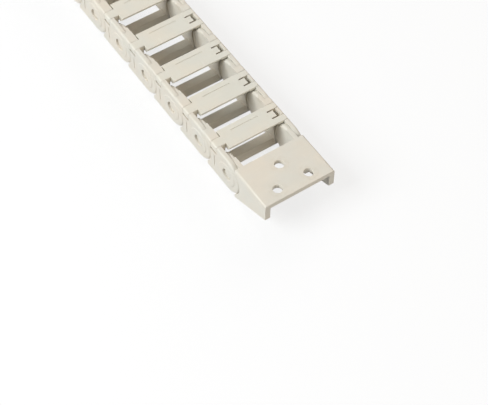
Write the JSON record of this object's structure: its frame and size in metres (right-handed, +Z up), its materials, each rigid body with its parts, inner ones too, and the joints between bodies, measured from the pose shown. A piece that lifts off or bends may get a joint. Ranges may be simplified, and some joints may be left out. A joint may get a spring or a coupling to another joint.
{
  "type": "cable drag chain",
  "caption": "Moulded cable drag chain with an enclosed rectangular channel, openable snap crossbars, one-way pivoting links and drilled end brackets.",
  "frame": {"origin": "on the surface that the straight chain lies on, under the middle of the chain", "axes": "+Z up through the crossbars, which is the outer side of the bend; +Y along the chain, from the bracket with inner lugs to the bracket with outer lugs; +X across the chain, towards the latches"},
  "size_m": [0.0274, 0.1966, 0.0143],
  "materials": {
    "link": "satin cream moulded nylon",
    "crossbar": "satin cream moulded nylon",
    "bracket": "satin cream moulded nylon"
  },
  "bodies": {
    "near_bracket": {"near_bracket": "bracket"},
    "link_1": {"link_1": "link"},
    "link_2": {"link_2": "link"},
    "link_3": {"link_3": "link"},
    "link_4": {"link_4": "link"},
    "link_5": {"link_5": "link"},
    "link_6": {"link_6": "link"},
    "link_7": {"link_7": "link"},
    "link_8": {"link_8": "link"},
    "link_9": {"link_9": "link"},
    "crossbar_1": {"crossbar_1": "crossbar"},
    "crossbar_2": {"crossbar_2": "crossbar"},
    "crossbar_3": {"crossbar_3": "crossbar"},
    "crossbar_4": {"crossbar_4": "crossbar"},
    "crossbar_5": {"crossbar_5": "crossbar"},
    "crossbar_6": {"crossbar_6": "crossbar"},
    "crossbar_7": {"crossbar_7": "crossbar"},
    "crossbar_8": {"crossbar_8": "crossbar"},
    "crossbar_9": {"crossbar_9": "crossbar"},
    "far_bracket": {"far_bracket": "bracket"}
  },
  "joints": [
    {"name": "pivot_1", "type": "hinge", "parent": "near_bracket", "child": "link_1", "pos_m": [0, -0.076, 0.00715], "axis": [-1, 0, 0], "range_deg": [0, 25.5]},
    {"name": "pivot_2", "type": "hinge", "parent": "link_1", "child": "link_2", "pos_m": [0, -0.059, 0.00715], "axis": [-1, 0, 0], "range_deg": [0, 25.5]},
    {"name": "pivot_3", "type": "hinge", "parent": "link_2", "child": "link_3", "pos_m": [0, -0.042, 0.00715], "axis": [-1, 0, 0], "range_deg": [0, 25.5]},
    {"name": "pivot_4", "type": "hinge", "parent": "link_3", "child": "link_4", "pos_m": [0, -0.025, 0.00715], "axis": [-1, 0, 0], "range_deg": [0, 25.5]},
    {"name": "pivot_5", "type": "hinge", "parent": "link_4", "child": "link_5", "pos_m": [0, -0.008, 0.00715], "axis": [-1, 0, 0], "range_deg": [0, 25.5]},
    {"name": "pivot_6", "type": "hinge", "parent": "link_5", "child": "link_6", "pos_m": [0, 0.009, 0.00715], "axis": [-1, 0, 0], "range_deg": [0, 25.5]},
    {"name": "pivot_7", "type": "hinge", "parent": "link_6", "child": "link_7", "pos_m": [0, 0.026, 0.00715], "axis": [-1, 0, 0], "range_deg": [0, 25.5]},
    {"name": "pivot_8", "type": "hinge", "parent": "link_7", "child": "link_8", "pos_m": [0, 0.043, 0.00715], "axis": [-1, 0, 0], "range_deg": [0, 25.5]},
    {"name": "pivot_9", "type": "hinge", "parent": "link_8", "child": "link_9", "pos_m": [0, 0.06, 0.00715], "axis": [-1, 0, 0], "range_deg": [0, 25.5]},
    {"name": "pivot_10", "type": "hinge", "parent": "link_9", "child": "far_bracket", "pos_m": [0, 0.077, 0.00715], "axis": [-1, 0, 0], "range_deg": [0, 25.5]},
    {"name": "crossbar_hinge_1", "type": "hinge", "parent": "link_1", "child": "crossbar_1", "pos_m": [-0.0122, -0.068, 0.0131], "axis": [0, -1, 0], "range_deg": [0, 110]},
    {"name": "crossbar_hinge_2", "type": "hinge", "parent": "link_2", "child": "crossbar_2", "pos_m": [-0.0122, -0.051, 0.0131], "axis": [0, -1, 0], "range_deg": [0, 110]},
    {"name": "crossbar_hinge_3", "type": "hinge", "parent": "link_3", "child": "crossbar_3", "pos_m": [-0.0122, -0.034, 0.0131], "axis": [0, -1, 0], "range_deg": [0, 110]},
    {"name": "crossbar_hinge_4", "type": "hinge", "parent": "link_4", "child": "crossbar_4", "pos_m": [-0.0122, -0.017, 0.0131], "axis": [0, -1, 0], "range_deg": [0, 110]},
    {"name": "crossbar_hinge_5", "type": "hinge", "parent": "link_5", "child": "crossbar_5", "pos_m": [-0.0122, 0, 0.0131], "axis": [0, -1, 0], "range_deg": [0, 110]},
    {"name": "crossbar_hinge_6", "type": "hinge", "parent": "link_6", "child": "crossbar_6", "pos_m": [-0.0122, 0.017, 0.0131], "axis": [0, -1, 0], "range_deg": [0, 110]},
    {"name": "crossbar_hinge_7", "type": "hinge", "parent": "link_7", "child": "crossbar_7", "pos_m": [-0.0122, 0.034, 0.0131], "axis": [0, -1, 0], "range_deg": [0, 110]},
    {"name": "crossbar_hinge_8", "type": "hinge", "parent": "link_8", "child": "crossbar_8", "pos_m": [-0.0122, 0.051, 0.0131], "axis": [0, -1, 0], "range_deg": [0, 110]},
    {"name": "crossbar_hinge_9", "type": "hinge", "parent": "link_9", "child": "crossbar_9", "pos_m": [-0.0122, 0.068, 0.0131], "axis": [0, -1, 0], "range_deg": [0, 110]}
  ]
}
